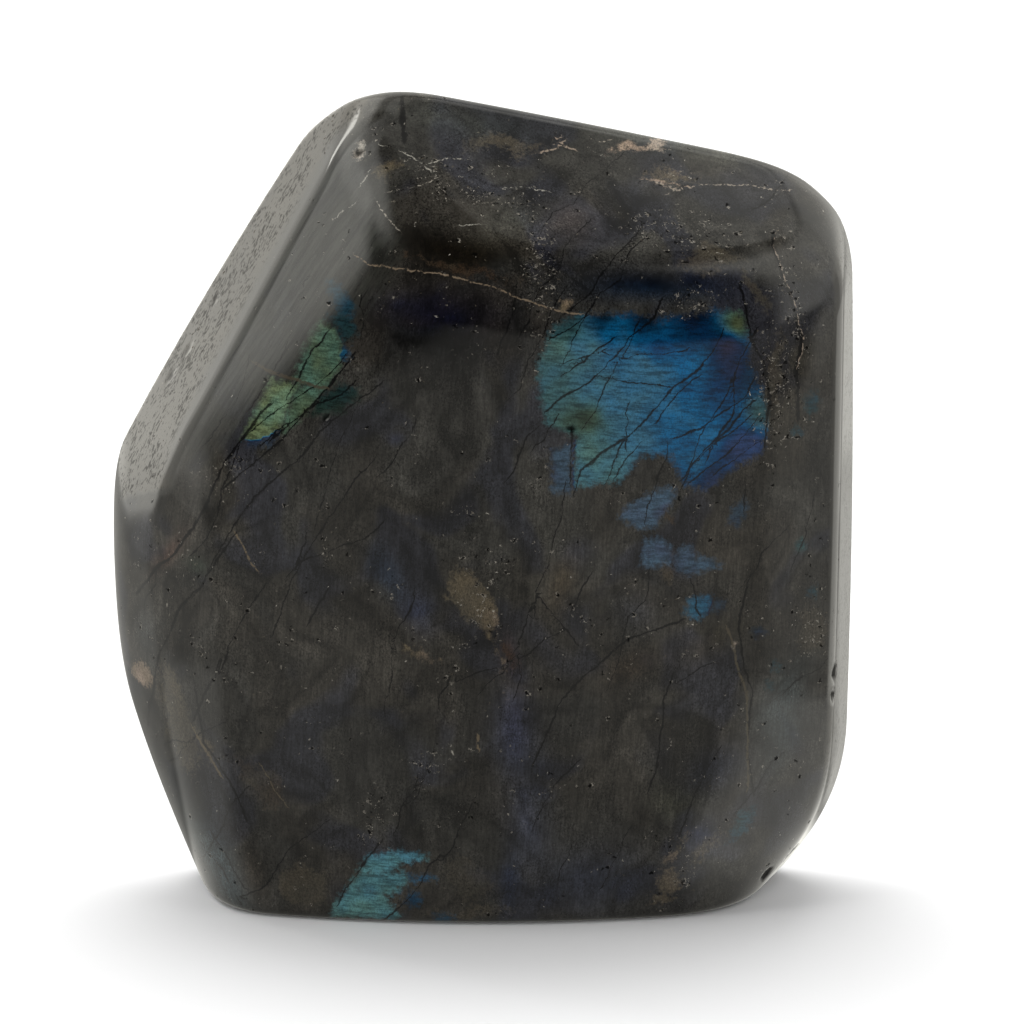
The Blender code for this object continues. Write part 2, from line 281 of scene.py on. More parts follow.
# A patch of another mineral is an ellipse: its middle, half length and half width, the turn of its
# length above the level, its hue along the minerals and its strength.
Patch = namedtuple("Patch", "x z length width turn hue strength")
MINERALS = {
    0.00: (0.030, 0.012, 0.006),
    0.20: (0.045, 0.026, 0.014),
    0.40: (0.072, 0.062, 0.042),
    0.60: (0.145, 0.112, 0.066),
    0.80: (0.355, 0.262, 0.190),
    1.00: (0.420, 0.400, 0.340),
}
PATCHES = {
    "golden_tan_top": Patch(3.5, 133.4, 7.0, 1.3, -6, 0.50, 0.48),
    "pink_tan_a": Patch(25.0, 132.9, 2.5, 0.75, -4, 0.80, 1.0),
    "pink_tan_b": Patch(29.8, 132.1, 1.7, 0.75, -12, 0.82, 1.0),
    "gold_pink": Patch(33.0, 128.0, 4.4, 1.1, -4, 0.58, 0.60),
    "gold_pink_core": Patch(31.0, 127.2, 1.6, 0.4, -12, 0.84, 1.0),
    "pale_pitted": Patch(-21.8, 132.8, 1.5, 0.9, 25, 0.92, 0.9),
    "soft_tan_corner": Patch(-16.7, 130.4, 2.6, 1.2, 0, 0.55, 0.7),
    "tan_over_flash": Patch(38.6, 115.2, 5.0, 1.9, 2, 0.48, 0.36),
    "gold_above_crack": Patch(-3.0, 114.4, 8.5, 1.0, -10, 0.22, 0.55),
    "gold_spot": Patch(14.8, 108.8, 0.9, 0.6, 0, 0.66, 0.9),
    "olive_crust": Patch(-1.6, 58.6, 5.6, 2.7, -55, 0.50, 0.74),
    "olive_core": Patch(0.6, 56.2, 3.8, 1.6, -70, 0.60, 0.66),
    "pale_streak": Patch(2.7, 49.8, 3.4, 0.35, -86, 0.66, 0.60),
    "red_lens": Patch(4.6, 49.6, 3.4, 1.2, -86, 0.16, 0.70),
    "pale_lens": Patch(-10.4, 49.2, 2.8, 0.75, -12, 0.66, 0.60),
    "orange_dot": Patch(-12.9, 50.0, 0.5, 0.4, 0, 0.55, 1.1),
    "left_tan": Patch(-60.3, 39.8, 2.6, 1.5, -12, 0.72, 0.85),
    "olive_lens": Patch(-53.4, 34.0, 10.5, 3.0, -72, 0.42, 0.60),
    "gold_lens_end": Patch(-48.6, 31.0, 4.0, 1.2, -66, 0.56, 0.50),
    "brown_lens": Patch(-38.6, 25.0, 5.4, 2.8, -48, 0.28, 0.42),
    "tan_dome": Patch(-31.4, 6.6, 5.0, 4.4, 0, 0.44, 0.46),
    "gold_foot": Patch(-2.6, 9.0, 6.0, 3.6, -40, 0.42, 0.34),
    "gold_foot_edge": Patch(-2.0, 2.6, 6.5, 1.3, 0, 0.50, 0.34),
    "right_tan_a": Patch(34.0, 13.2, 3.1, 1.2, 70, 0.64, 0.60),
    "right_tan_b": Patch(39.4, 13.0, 4.2, 1.1, 52, 0.56, 0.55),
    "right_tan_c": Patch(33.2, 7.0, 2.9, 1.6, 60, 0.62, 0.60),
    "right_tan_d": Patch(32.0, 3.3, 2.1, 1.2, 20, 0.60, 0.55),
    "brown_pitted": Patch(57.4, 51.0, 4.0, 2.6, 80, 0.46, 0.34),
    "orange_slip": Patch(32.2, 62.4, 2.0, 1.2, -35, 0.30, 0.75),
    "rust_slip": Patch(31.8, 72.0, 1.5, 0.8, -60, 0.25, 0.70),
    "vein_spot": Patch(43.4, 48.8, 0.6, 0.5, 0, 0.90, 0.8),
    "brown_right_a": Patch(50.4, 96.0, 6.0, 1.3, 80, 0.36, 0.6),
    "brown_right_b": Patch(46.2, 110.0, 4.5, 1.2, -60, 0.38, 0.6),
}

# A cloud is a soft tinge in the dark feldspar; the two on the top ridge are painted highlights. Each has its middle,
# half length, half width, turn and colour.
Cloud = namedtuple("Cloud", "x z length width turn colour")
CLOUDS = {
    "blue_left": Cloud(-16.4, 63.2, 5.5, 3.0, -60, (0.004, 0.013, 0.026)),
    "blue_middle": Cloud(-10.6, 56.3, 4.0, 3.0, -70, (0.004, 0.008, 0.024)),
    "blue_dot": Cloud(-14.4, 86.8, 1.8, 1.2, 0, (0.006, 0.010, 0.030)),
    "navy_middle": Cloud(5.8, 33.0, 9.5, 5.0, -80, (0.003, 0.007, 0.022)),
    "navy_under": Cloud(8.0, 18.0, 9.0, 4.5, -85, (0.003, 0.007, 0.022)),
    "navy_right": Cloud(40.3, 27.4, 6.0, 4.5, 30, (0.002, 0.006, 0.022)),
    "navy_low_right": Cloud(38.4, 16.0, 3.5, 3.0, 40, (0.002, 0.006, 0.022)),
    "navy_band": Cloud(-10.0, 108.5, 12.0, 3.4, -4, (0.000, 0.001, 0.007)),
    "dark_up": Cloud(-6.0, 107.0, 22.0, 10.0, -4, (-0.029, -0.027, -0.021)),
    "dark_over_band": Cloud(-2.0, 117.5, 15.0, 4.2, -4, (-0.021, -0.020, -0.018)),
    "navy_hood": Cloud(28.0, 110.5, 14.0, 2.5, -4, (-0.004, 0.000, 0.006)),
    "dark_corner": Cloud(-11.0, 120.5, 8.0, 4.0, -12, (-0.012, -0.011, -0.009)),
    "dark_up_right": Cloud(28.0, 112.0, 16.0, 3.5, -4, (-0.024, -0.021, -0.013)),
    "dark_flash_side": Cloud(50.0, 97.0, 13.0, 3.6, 88, (-0.012, -0.012, -0.012)),
    "pale_right": Cloud(38.0, 58.0, 20.0, 16.0, 60, (0.002, 0.001, 0.000)),
    "grey_left": Cloud(-59.0, 48.0, 6.5, 3.5, -80, (0.012, 0.016, 0.018)),
    "grey_low_left": Cloud(-52.0, 16.0, 8.0, 3.0, -72, (0.004, 0.012, 0.012)),
    "steel_foot": Cloud(-46.0, 8.0, 9.5, 3.8, -66, (0.014, 0.034, 0.044)),
    "deep_blue_foot": Cloud(18.5, 8.0, 10.0, 7.0, 10, (-0.002, 0.003, 0.020)),
    "deep_blue_strip": Cloud(4.8, 9.0, 7.0, 2.0, 88, (-0.002, 0.003, 0.018)),
    "right_haze": Cloud(52.0, 32.0, 8.0, 4.0, 72, (0.002, 0.012, 0.016)),
    "brown_middle": Cloud(25.4, 46.7, 6.0, 3.5, 20, (0.012, 0.004, -0.002)),
    "brown_above": Cloud(13.8, 62.0, 6.5, 2.6, 70, (0.010, 0.004, -0.002)),
    "rust_middle": Cloud(4.4, 49.7, 4.5, 1.8, -86, (0.014, 0.003, -0.002)),
    "olive_strip": Cloud(39.0, 50.0, 7.5, 3.0, 30, (0.012, 0.008, 0.000)),
    "purple_middle": Cloud(5.6, 37.5, 8.0, 3.6, -86, (0.000, 0.001, 0.016)),
    "purple_above": Cloud(16.4, 67.2, 3.2, 2.6, 0, (0.000, 0.002, 0.012)),
    "grey_slip_side": Cloud(26.0, 56.4, 4.0, 4.0, 0, (0.002, 0.004, 0.010)),
    "olive_right": Cloud(33.7, 22.2, 5.0, 4.0, 0, (0.010, 0.011, 0.004)),
    "brown_foot": Cloud(-40.5, 8.0, 7.5, 2.8, -80, (0.014, 0.008, 0.003)),
    "rust_left": Cloud(-54.8, 64.0, 6.5, 1.8, 56, (0.004, -0.007, -0.008)),
    "green_left": Cloud(-49.4, 62.8, 2.4, 1.8, 0, (0.004, 0.014, 0.008)),
    "brown_top": Cloud(15.0, 121.5, 4.5, 3.5, 0, (0.012, 0.007, 0.002)),
    "grey_top": Cloud(4.0, 122.0, 6.0, 3.0, 0, (0.014, 0.015, 0.012)),
    # the two ridge clouds are painted highlights: a paler grey along the top ridge, standing in for the light on a
    # rounder ridge
    "ridge_painted_highlight": Cloud(-2.0, 137.0, 14.0, 3.0, -12, (0.014, 0.017, 0.014)),
    "ridge_right_painted_highlight": Cloud(34.0, 133.0, 20.0, 2.4, -12, (0.016, 0.019, 0.015)),
    "brown_flash_side": Cloud(53.0, 88.0, 14.0, 4.0, 85, (0.010, 0.008, 0.004)),
    "grey_centre": Cloud(12.0, 66.0, 12.0, 8.0, 60, (0.002, 0.002, 0.001)),
    "teal_right": Cloud(52.0, 40.0, 9.0, 4.0, 60, (0.002, 0.012, 0.016)),
}

# Pits and pale flecks gather in these places: their middle, half length, half width, turn and crowding.
Cluster = namedtuple("Cluster", "x z length width turn crowding")
CLUSTERS = {
    "pit_column": Cluster(9.8, 113.0, 11.0, 2.6, -88, 1.0),
    "top_pits": Cluster(-0.5, 125.6, 7.0, 1.8, -8, 1.0),
    "top_pits_small": Cluster(2.5, 129.4, 3.0, 0.8, 0, 0.8),
    "top_flecks": Cluster(34.0, 119.7, 11.0, 3.0, -6, 0.75),
    "right_flecks": Cluster(53.5, 108.3, 11.0, 1.8, -84, 1.0),
    "speckled_right": Cluster(50.2, 93.0, 11.0, 3.2, 88, 1.0),
    "above_flash": Cluster(36.0, 109.0, 6.0, 2.0, 10, 0.8),
    "centre_column": Cluster(2.2, 63.4, 4.0, 1.2, -88, 0.9),
    "centre_crust": Cluster(-0.4, 58.0, 4.5, 3.0, -60, 0.7),
    "diagonal_row": Cluster(16.6, 56.0, 4.6, 0.9, -50, 1.0),
    "diagonal_start": Cluster(25.8, 61.1, 1.6, 0.8, 40, 1.0),
    "black_column": Cluster(2.7, 63.0, 3.4, 0.8, -80, 1.0),
    "black_shelf": Cluster(-3.1, 51.0, 1.8, 0.6, 0, 1.0),
    "gold_row": Cluster(-2.9, 74.4, 3.6, 0.7, -12, 1.0),
    "under_lens": Cluster(-4.7, 46.5, 3.4, 0.8, 80, 0.8),
    "low_row": Cluster(-9.5, 29.3, 4.0, 1.8, 60, 0.8),
    "low_left_row": Cluster(-19.3, 19.7, 4.5, 2.0, 80, 0.8),
    "left_pair": Cluster(-26.7, 66.0, 1.8, 1.0, 90, 1.0),
    "left_small": Cluster(-47.9, 47.4, 2.0, 1.4, 0, 0.8),
    "brown_right": Cluster(57.4, 51.0, 5.0, 3.4, 80, 0.9),
    "foot_gouges": Cluster(52.0, 7.0, 4.5, 2.0, 15, 0.9),
    "left_knot": Cluster(-43.5, 80.5, 2.5, 2.0, 0, 1.0),
    "tan_foot": Cluster(35.0, 10.0, 7.0, 3.0, 60, 0.6),
    "top_net": Cluster(-9.0, 130.5, 5.0, 2.0, -10, 0.9),
    "over_gold": Cluster(33.0, 128.0, 5.0, 1.6, 0, 0.6),
}


# A gouge is a hollow in the surface: its middle, half length, half width, turn and depth.
Gouge = namedtuple("Gouge", "x z length width turn depth")
GOUGES = {
    "foot_left": Gouge(50.2, 5.6, 1.7, 0.75, 62, 0.45),
    "foot_right": Gouge(54.6, 8.0, 1.2, 0.7, 40, 0.40),
    "right_long": Gouge(61.3, 42.4, 1.3, 0.5, 86, 0.30),
    "right_low": Gouge(61.2, 38.4, 1.1, 0.5, 86, 0.30),
    "left_pit": Gouge(-26.6, 89.8, 1.0, 0.5, 35, 0.30),
    "flash_notch": Gouge(15.2, 88.1, 1.1, 0.45, -5, 0.30),
    "corner_pit": Gouge(-21.6, 132.9, 1.3, 0.6, 20, 0.30),
}
STRIP_GOUGES = 10
STRIP_START = (-66.0, 78.0)
STRIP_END = (-33.0, 132.0)

# the fine cracks that run steeply through the whole stone
HAIRLINES = 60
HAIRLINE_LEAN = 62.0
HAIRLINE_WIDTHS = (0.11, 0.26)
STRAND_STRETCH = np.array([1.0, 1.0, 0.45])
BACK_SEED = 11

# the flashes of the back: right, up, reach in millimetres, hue and glow
BACK_FLASHES = (
    (-22.0, 84.0, 12.0, 0.46, 0.50), (-9.0, 71.0, 4.0, 0.60, 0.40), (-31.0, 69.0, 3.0, 0.98, 0.40),
    (20.0, 44.0, 8.0, 0.30, 0.50), (27.0, 36.0, 3.0, 0.44, 0.40), (30.0, 100.0, 5.0, 0.62, 0.50),
    (37.0, 95.0, 2.4, 0.98, 0.35), (-36.0, 30.0, 3.4, 0.30, 0.35),
)
FLASH_CORNERS = 18
FRONT_SEED = 5

# the noise that makes the marks stray has a seed too, one that leaves them near their drawn places
STRAY_SEED = 77


def clear_selection():
    """Deselects everything, so that an operator acts on its own piece alone."""
    if bpy.context.object and bpy.context.object.mode != "OBJECT":
        bpy.ops.object.mode_set(mode="OBJECT")
    for item in bpy.data.objects:
        item.select_set(False)


def facet_axes(facet):
    """The way a facet faces, and its own directions across and up."""
    turn = math.radians(facet.turn)
    tilt = math.radians(facet.tilt)
    outward = np.array([math.sin(turn) * math.cos(tilt), -math.cos(turn) * math.cos(tilt), math.sin(tilt)])
    across = np.array([math.cos(turn), math.sin(turn), 0.0])
    return outward, across, np.cross(across, outward)


def height_over_facet(points, facet):
    """How far points stand outside a crowned facet; the height is below zero inside the stone."""
    outward, across, up = facet_axes(facet)
    fall_across = (points @ across) ** 2 / (2.0 * facet.crown_across)
    fall_up = (points @ up) ** 2 / (2.0 * facet.crown_up)
    return points @ outward - facet.reach + fall_across + fall_up


def blended(first, second, width):
    """The larger of two heights, rounded over the given width where they are nearly equal."""
    overlap = np.maximum(width - np.abs(first - second), 0.0)
    return np.maximum(first, second) + overlap ** 2 / (4.0 * width)


def height_over_stone(points):
    """How far points, measured from the heart, stand outside all the facets together."""
    facets = list(FACETS.values())
    height = height_over_facet(points, facets[0])
    for facet in facets[1:]:
        height = blended(height, height_over_facet(points, facet), facet.blend)
    return height


def distances_to_surface(directions):
    """The distances from the heart to the surface, found by halving the search range."""
    inside = np.zeros(len(directions))
    outside = np.full(len(directions), SEARCH_REACH)
    for _ in range(SEARCH_STEPS):
        middle = (inside + outside) / 2.0
        beyond = height_over_stone(directions * middle[:, None]) > 0.0
        outside = np.where(beyond, middle, outside)
        inside = np.where(beyond, inside, middle)
    return inside


def vertex_places(mesh):
    places = np.empty(len(mesh.vertices) * 3)
    mesh.vertices.foreach_get("co", places)
    return places.reshape(-1, 3)


def set_vertex_places(mesh, places):
    mesh.vertices.foreach_set("co", places.ravel())
    mesh.update()


def heart():
    return np.array([HEART_ACROSS, HEART_DEPTH, HEART_HEIGHT])


def add_ball():
    """The rough ball, finer on the side that faces the observer."""
    clear_selection()
    bpy.ops.mesh.primitive_ico_sphere_add(
        subdivisions=BALL_SUBDIVISIONS, radius=BALL_RADIUS, location=tuple(heart()))
    ball = bpy.context.object
    bpy.ops.transform.resize(value=(1.0, BALL_FLATNESS, 1.0))
    bpy.ops.object.transform_apply(location=True, rotation=False, scale=True)
    ways = vertex_places(ball.data) - heart()
    ways /= np.linalg.norm(ways, axis=1)[:, None]
    faces = np.array([face.vertices for face in ball.data.polygons])
    frontness = ways[faces].mean(axis=1)[:, 1]
    limit = np.sort(frontness)[FINE_FACES_MOST]
    bpy.ops.object.mode_set(mode="EDIT")
    bpy.ops.mesh.select_all(action="DESELECT")
    bpy.ops.mesh.select_mode(type="FACE")
    bpy.ops.object.mode_set(mode="OBJECT")
    ball.data.polygons.foreach_set("select", frontness < limit)
    bpy.ops.object.mode_set(mode="EDIT")
    bpy.ops.mesh.subdivide(number_cuts=1)
    bpy.ops.mesh.select_all(action="SELECT")
    bpy.ops.mesh.quads_convert_to_tris()
    bpy.ops.object.mode_set(mode="OBJECT")
    return ball


def grind(stone):
    """Moves each vertex towards or away from the heart until it lies on the facets."""
    ways = vertex_places(stone.data) - heart()
    ways /= np.linalg.norm(ways, axis=1)[:, None]
    places = heart() + ways * distances_to_surface(ways)[:, None]
    places[:, 2] = np.maximum(places[:, 2], 0.0)
    set_vertex_places(stone.data, places)


def segment_measures(points, start, end):
    """The distance to a straight stretch, and on which side of it each point lies."""
    start = np.array(start, float)
    run = np.array(end, float) - start
    away = points - start
    along = np.clip(away @ run / (run @ run), 0.0, 1.0)
    distance = np.linalg.norm(away - along[:, None] * run, axis=1)
    side = np.sign(run[0] * away[:, 1] - run[1] * away[:, 0])
    return distance, side


def reach_inside(points, outline):
    """How far points lie inside a closed outline, below zero outside it."""
    nearest = np.full(len(points), np.inf)
    inside = np.zeros(len(points), bool)
    for start, end in zip(outline, outline[1:] + outline[:1]):
        distance, _ = segment_measures(points, start, end)
        nearest = np.minimum(nearest, distance)
        crosses = (start[1] > points[:, 1]) != (end[1] > points[:, 1])
        rise = end[1] - start[1] if end[1] != start[1] else 1.0
        meeting = start[0] + (points[:, 1] - start[1]) / rise * (end[0] - start[0])
        inside ^= crosses & (points[:, 0] < meeting)
    return np.where(inside, nearest, -nearest)


def broad_flash_tints(points):
    """The hue and glow that the flash spots give, the nearest spots counting most."""
    weights = np.stack([
        1.0 / (0.6 + (points[:, 0] - spot.x) ** 2 + (points[:, 1] - spot.z) ** 2) ** 1.5
        for spot in FLASH_SPOTS], axis=1)
    weights /= weights.sum(axis=1)[:, None]
    return weights @ [spot.hue for spot in FLASH_SPOTS], weights @ [spot.glow for spot in FLASH_SPOTS]


def flash_field(points, flashes):
    """For each point the reach inside the nearest flash, its hue and its glow."""
    best = np.full(len(points), -40.0)
    hue = np.zeros(len(points))
    glow = np.zeros(len(points))
    for flash in flashes:
        reach = reach_inside(points, flash.outline)
        nearer = reach > best
        if flash.hue is None:
            own_hue, own_glow = broad_flash_tints(points)
        else:
            own_hue = np.full(len(points), flash.hue)
            own_glow = np.full(len(points), flash.glow)
        best = np.where(nearer, reach, best)
        hue = np.where(nearer, own_hue, hue)
        glow = np.where(nearer, own_glow, glow)
    return np.stack([best, hue, glow], axis=1)


def reach_in_ellipse(points, mark):
    """How far points lie inside a turned ellipse, roughly, and below zero outside it."""
    turn = math.radians(mark.turn)
    away = points - np.array([mark.x, mark.z])
    along = (away[:, 0] * math.cos(turn) + away[:, 1] * math.sin(turn)) / mark.length
    across = (away[:, 1] * math.cos(turn) - away[:, 0] * math.sin(turn)) / mark.width
    ratio = np.hypot(along, across)
    return (1.0 - ratio) * mark.width, ratio


def line_field(points, lines, last):
    """The signed and the plain distance to the nearest line, and that line's own last number."""
    signed = np.full(len(points), 40.0)
    kept = np.zeros(len(points))
    for line in lines:
        for start, end in zip(line.points, line.points[1:]):
            distance, side = segment_measures(points, start, end)
            nearer = distance < np.abs(signed)
            signed = np.where(nearer, distance * side, signed)
            kept = np.where(nearer, getattr(line, last), kept)
    return np.stack([signed, np.abs(signed), kept], axis=1)


def patch_field(points, places, patches):
    """For each point the reach inside the nearest patch, its hue and its strength."""
    points = points + stray_at(places, 0.21, 1.9)
    best = np.full(len(points), -40.0)
    hue = np.zeros(len(points))
    strength = np.zeros(len(points))
    for patch in patches:
        reach, _ = reach_in_ellipse(points, patch)
        nearer = reach > best
        best = np.where(nearer, reach, best)
        hue = np.where(nearer, patch.hue, hue)
        strength = np.where(nearer, patch.strength, strength)
    return np.stack([best, hue, strength], axis=1)


def cloud_field(points, clouds):
    """The tinge that all the clouds give together, with the painted highlights on the top ridge."""
    tinge = np.zeros((len(points), 3))
    for cloud in clouds:
        _, ratio = reach_in_ellipse(points, cloud)
        tinge += np.exp(-1.6 * ratio ** 2)[:, None] * np.array(cloud.colour)
    return tinge


def crowding_field(points, clusters):
    """How closely pits and flecks crowd at each point."""
    crowding = np.zeros(len(points))
    for cluster in clusters:
        _, ratio = reach_in_ellipse(points, cluster)
        crowding = np.maximum(crowding, cluster.crowding * np.clip(1.5 - ratio, 0.0, 1.0))
    return crowding


def keep_on_mesh(mesh, name, values):
    """Keeps three numbers for each vertex under a name that the material reads."""
    layer = mesh.attributes.new(name, "FLOAT_VECTOR", "POINT")
    layer.data.foreach_set("vector", values.astype(np.float32).ravel())


def drawn_line(lot, middle, length, lean, width):
    """A crack through a few points that stray a little from a straight run."""
    steps = 5
    points = []
    for step in range(steps + 1):
        along = length * (step / steps - 0.5)
        stray = lot.uniform(-0.05, 0.05) * length
        points.append((middle[0] + along * math.cos(lean) - stray * math.sin(lean),
                       middle[1] + along * math.sin(lean) + stray * math.cos(lean)))
    return Crack(tuple(points), width, 1)


def hairlines(lot, amount):
    """Fine cracks strewn over the broad face, most of them leaning the same way."""
    lines = []
    for _ in range(amount):
        middle = (lot.uniform(-58.0, 58.0), lot.uniform(6.0, 132.0))
        lean = math.radians(HAIRLINE_LEAN + lot.gauss(0.0, 16.0))
        lines.append(drawn_line(lot, middle, lot.uniform(6.0, 24.0), lean, lot.uniform(*HAIRLINE_WIDTHS)))
    return lines


def strip_gouges(lot):
    """Long narrow pits along the left side face."""
    start = np.array(STRIP_START)
    run = np.array(STRIP_END) - start
    turn = math.degrees(math.atan2(run[1], run[0]))
    across = np.array([-run[1], run[0]]) / np.linalg.norm(run)
    pits = []
    for _ in range(STRIP_GOUGES):
        place = start + run * lot.random() + across * lot.uniform(-2.5, 2.5)
        pits.append(Gouge(place[0], place[1], lot.uniform(0.9, 2.4), lot.uniform(0.28, 0.42),
                          turn + lot.gauss(0.0, 8.0), lot.uniform(0.08, 0.18)))
    return pits


class Marks:
    """Everything that lies in one side of the stone."""

    def __init__(self, flashes, cracks, veins, patches, clouds, clusters, gouges):
        self.flashes = flashes
        self.cracks = cracks
        self.veins = veins
        self.patches = patches
        self.clouds = clouds
        self.clusters = clusters
        self.gouges = gouges


def glint_flash(lot, glint):
    """A small flash with an outline that bulges here and there."""
    outline = [(glint.x + glint.reach * lot.uniform(0.7, 1.3) * math.cos(angle),
                glint.z + glint.reach * lot.uniform(0.7, 1.3) * math.sin(angle))
               for angle in np.linspace(0.0, 2.0 * math.pi, 8)[:-1]]
    return Flash(tuple(outline), glint.hue, glint.glow)


def front_marks():
    lot = random.Random(FRONT_SEED)
    glints = [glint_flash(lot, glint) for glint in GLINTS]
    return Marks(list(FLASHES.values()) + glints, list(CRACKS.values()) + hairlines(lot, HAIRLINES),
                 list(VEINS.values()), list(PATCHES.values()), list(CLOUDS.values()),
                 list(CLUSTERS.values()), list(GOUGES.values()) + strip_gouges(lot))


def ragged_flash(lot, right, up, reach, hue, glow):
    """A flash that leans to the right, with notches of different depth all round it."""
    outline = []
    for number in range(FLASH_CORNERS):
        angle = 2.0 * math.pi * number / FLASH_CORNERS
        out = reach * (lot.uniform(0.35, 0.75) if number % 3 == 0 else lot.uniform(0.85, 1.25))
        outline.append((right + out * (math.cos(angle) + 0.45 * math.sin(angle)), up + 0.62 * out * math.sin(angle)))
    return Flash(tuple(outline), hue, glow)


def back_marks():
    """The back isn't in the photograph; it has marks of the same kinds in places of its own."""
    lot = random.Random(BACK_SEED)

    def place():
        return lot.uniform(-48.0, 50.0), lot.uniform(8.0, 120.0)

    flashes = [ragged_flash(lot, *given) for given in BACK_FLASHES]
    cracks = hairlines(lot, HAIRLINES)
    cracks += [drawn_line(lot, place(), lot.uniform(20.0, 50.0), math.radians(lot.uniform(30.0, 80.0)),
                          lot.uniform(0.25, 0.4))._replace(strand=0) for _ in range(9)]
    veins = [Vein(drawn_line(lot, place(), lot.uniform(8.0, 26.0), lot.uniform(-0.6, 1.2), 0.2).points,
                  0.22, lot.uniform(0.4, 0.9)) for _ in range(7)]
    patches = [Patch(*place(), lot.uniform(1.5, 6.0), lot.uniform(0.8, 2.6), lot.uniform(-80.0, 80.0),
                     lot.uniform(0.1, 0.7), lot.uniform(0.5, 0.9)) for _ in range(18)]
    tints = ((0.003, 0.010, 0.022), (0.012, 0.009, 0.003), (0.010, 0.013, 0.013), (-0.010, -0.010, -0.008))
    clouds = [Cloud(*place(), lot.uniform(5.0, 16.0), lot.uniform(3.0, 8.0), lot.uniform(-80.0, 80.0),
                    tints[number % len(tints)]) for number in range(20)]
    clusters = [Cluster(*place(), lot.uniform(3.0, 10.0), lot.uniform(1.0, 3.0), lot.uniform(-80.0, 80.0),
                        lot.uniform(0.6, 1.0)) for _ in range(12)]
    return Marks(flashes, cracks, veins, patches, clouds, clusters, [])


def noise_at(places, scale, octaves, shift):
    """Smooth noise of a few octaves at each place, roughly between minus one and one."""
    offset = Vector((shift, shift * 0.7, -shift))
    return np.array([noise.fractal(Vector(place) * scale + offset, 1.0, 2.0, octaves) for place in places])


def stray_at(places, scale, amount):
    """How far each place strays to the right and upwards, so that drawn lines come out natural."""
    return np.array([noise.noise_vector(Vector(place) * scale) for place in places])[:, [0, 2]] * amount


def crystal_light(places):
    """One lightness for each angular crystal."""
    light = []
    for place in places:
        _, corners = noise.voronoi(Vector((place[0] * 0.13, place[1] * 0.13, place[2] * 0.07)))
        light.append(noise.noise(corners[0] * 3.7))
    return np.array(light)


def smooth(value, low, high):
    """Runs smoothly from zero to one while the value goes from low to high."""
    share = np.clip((value - low) / (high - low), 0.0, 1.0)
    return share * share * (3.0 - 2.0 * share)


def ground_field(points, places, clouds, settings):
    """The drifting tone of the dark feldspar at each vertex."""
    stray = np.array([noise.noise_vector(Vector(place) * 0.09) for place in places]) * 6.0
    drifted = places + stray
    brown = smooth(noise_at(drifted, 0.05, 3, 0.0), -0.20, 0.30)[:, None]
    blue = smooth(noise_at(drifted, 0.07, 3, 31.0), 0.02, 0.42)[:, None] * 0.75
    tone = np.array(settings.slate) * (1.0 - brown) + np.array(settings.umber) * brown
    tone = tone * (1.0 - blue) + np.array(settings.navy) * blue
    tone = np.maximum(tone + cloud_field(points, clouds), 0.003)
    mottle = 1.0 + 0.36 * noise_at(drifted, 0.30, 3, 17.0) + 0.50 * noise_at(drifted, 0.12, 2, 23.0)
    strands = smooth(1.0 - np.abs(noise_at(drifted * STRAND_STRETCH, 0.10, 2, 43.0)), 0.86, 1.0)
    light = np.clip(mottle, 0.3, 2.2) * (1.0 + 0.46 * crystal_light(drifted)) * (1.0 - 0.38 * strands)
    return tone * light[:, None]


def surface_fields(points, places, marks, settings):
    """All the numbers that the material needs, for the vertices of one side of the stone."""
    hue_stray = noise_at(places, 0.25, 3, 51.0)
    gaps = 0.50 + 0.65 * smooth(noise_at(places, 0.30, 2, 71.0), -0.45, 0.25)
    flash = flash_field(points, marks.flashes)
    flash[:, 1] = np.clip(flash[:, 1] + 0.08 * hue_stray, 0.0, 1.0)
    patches = patch_field(points, places, marks.patches)
    patches[:, 1] = np.clip(patches[:, 1] + 0.10 * hue_stray, 0.0, 1.0)
    first = line_field(points, [crack for crack in marks.cracks if crack.strand == 0], "width")
    second = line_field(points, [crack for crack in marks.cracks if crack.strand == 1], "width")
    first[:, 2] *= gaps
    second[:, 2] *= gaps
    wild = 0.02 + 0.13 * smooth(noise_at(places, 0.14, 3, 91.0), 0.05, 0.6)
    wild *= 1.0 - smooth(flash[:, 0], -1.0, 0.5)
    crowding = np.maximum(crowding_field(points, marks.clusters) * 0.85, wild)
    widths = line_field(points, marks.veins, "width")[:, 2]
    return {
        "flash": flash, "cracks_first": first, "cracks_second": second,
        "veins": line_field(points, marks.veins, "hue"), "patches": patches,
        "ground": ground_field(points, places, marks.clouds, settings),
        # the spread keeps the crowding of pits and flecks, the widths of the veins, and where the painted sheen of
        # the left bevel lies
        "spread": np.stack([crowding, widths, painted_sheen_face(places * MM)], axis=1),
    }


def gouge_depth(points, gouges):
    """How deep the gouges lie under the polished surface at each point."""
    depth = np.zeros(len(points))
    for gouge in gouges:
        _, ratio = reach_in_ellipse(points, gouge)
        depth = np.maximum(depth, gouge.depth * (1.0 - smooth(ratio, 0.35, 1.25)))
    return depth


